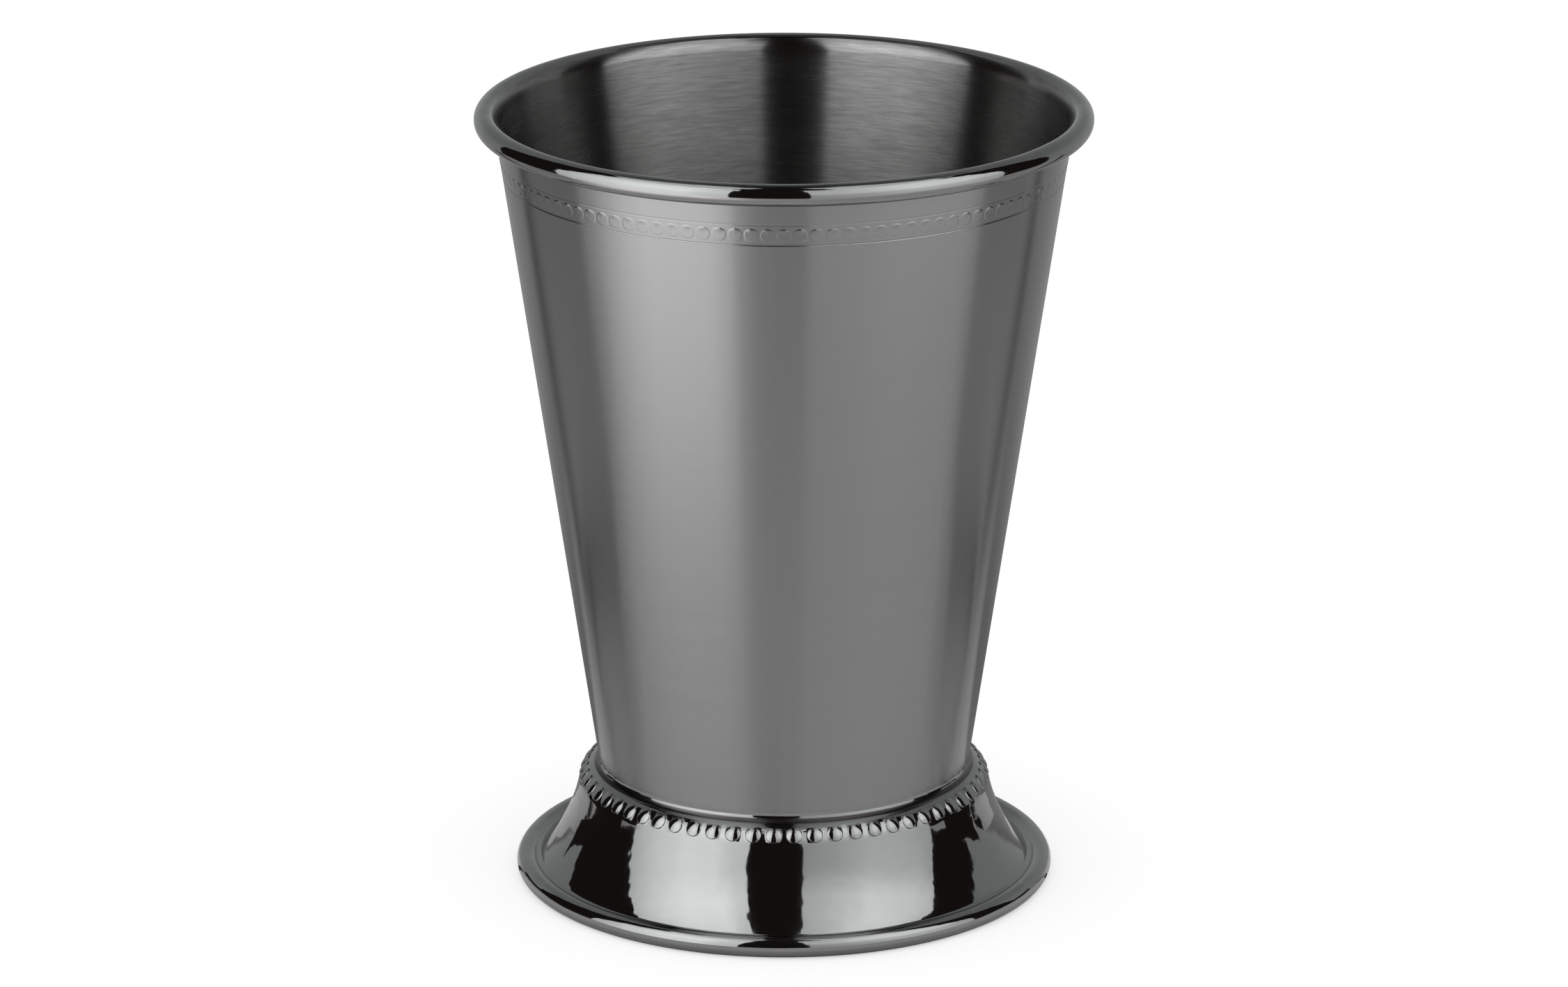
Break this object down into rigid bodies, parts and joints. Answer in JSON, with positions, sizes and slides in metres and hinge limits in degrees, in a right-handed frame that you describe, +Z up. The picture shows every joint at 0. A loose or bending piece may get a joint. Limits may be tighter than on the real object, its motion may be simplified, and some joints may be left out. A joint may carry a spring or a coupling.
{
  "type": "julep cup",
  "caption": "Tapered metal julep cup with a rolled rim, a low bead band and a flared, beaded foot that is hollow underneath.",
  "frame": {"origin": "centre of the flat that the foot stands on", "axes": "+Z up along the cup's axis, from the foot to the rim; X and Y are any two directions square to it"},
  "size_m": [0.083, 0.083, 0.108],
  "materials": {
    "cup_steel": "satin, dark nickel tone, with a polished rim",
    "foot_steel": "mirror polished, dark nickel tone",
    "braze": "silver brazing metal as it flowed"
  },
  "bodies": {
    "root": {"cup_body": "cup_steel", "foot": "foot_steel", "braze_ring": "braze"}
  },
  "joints": []
}
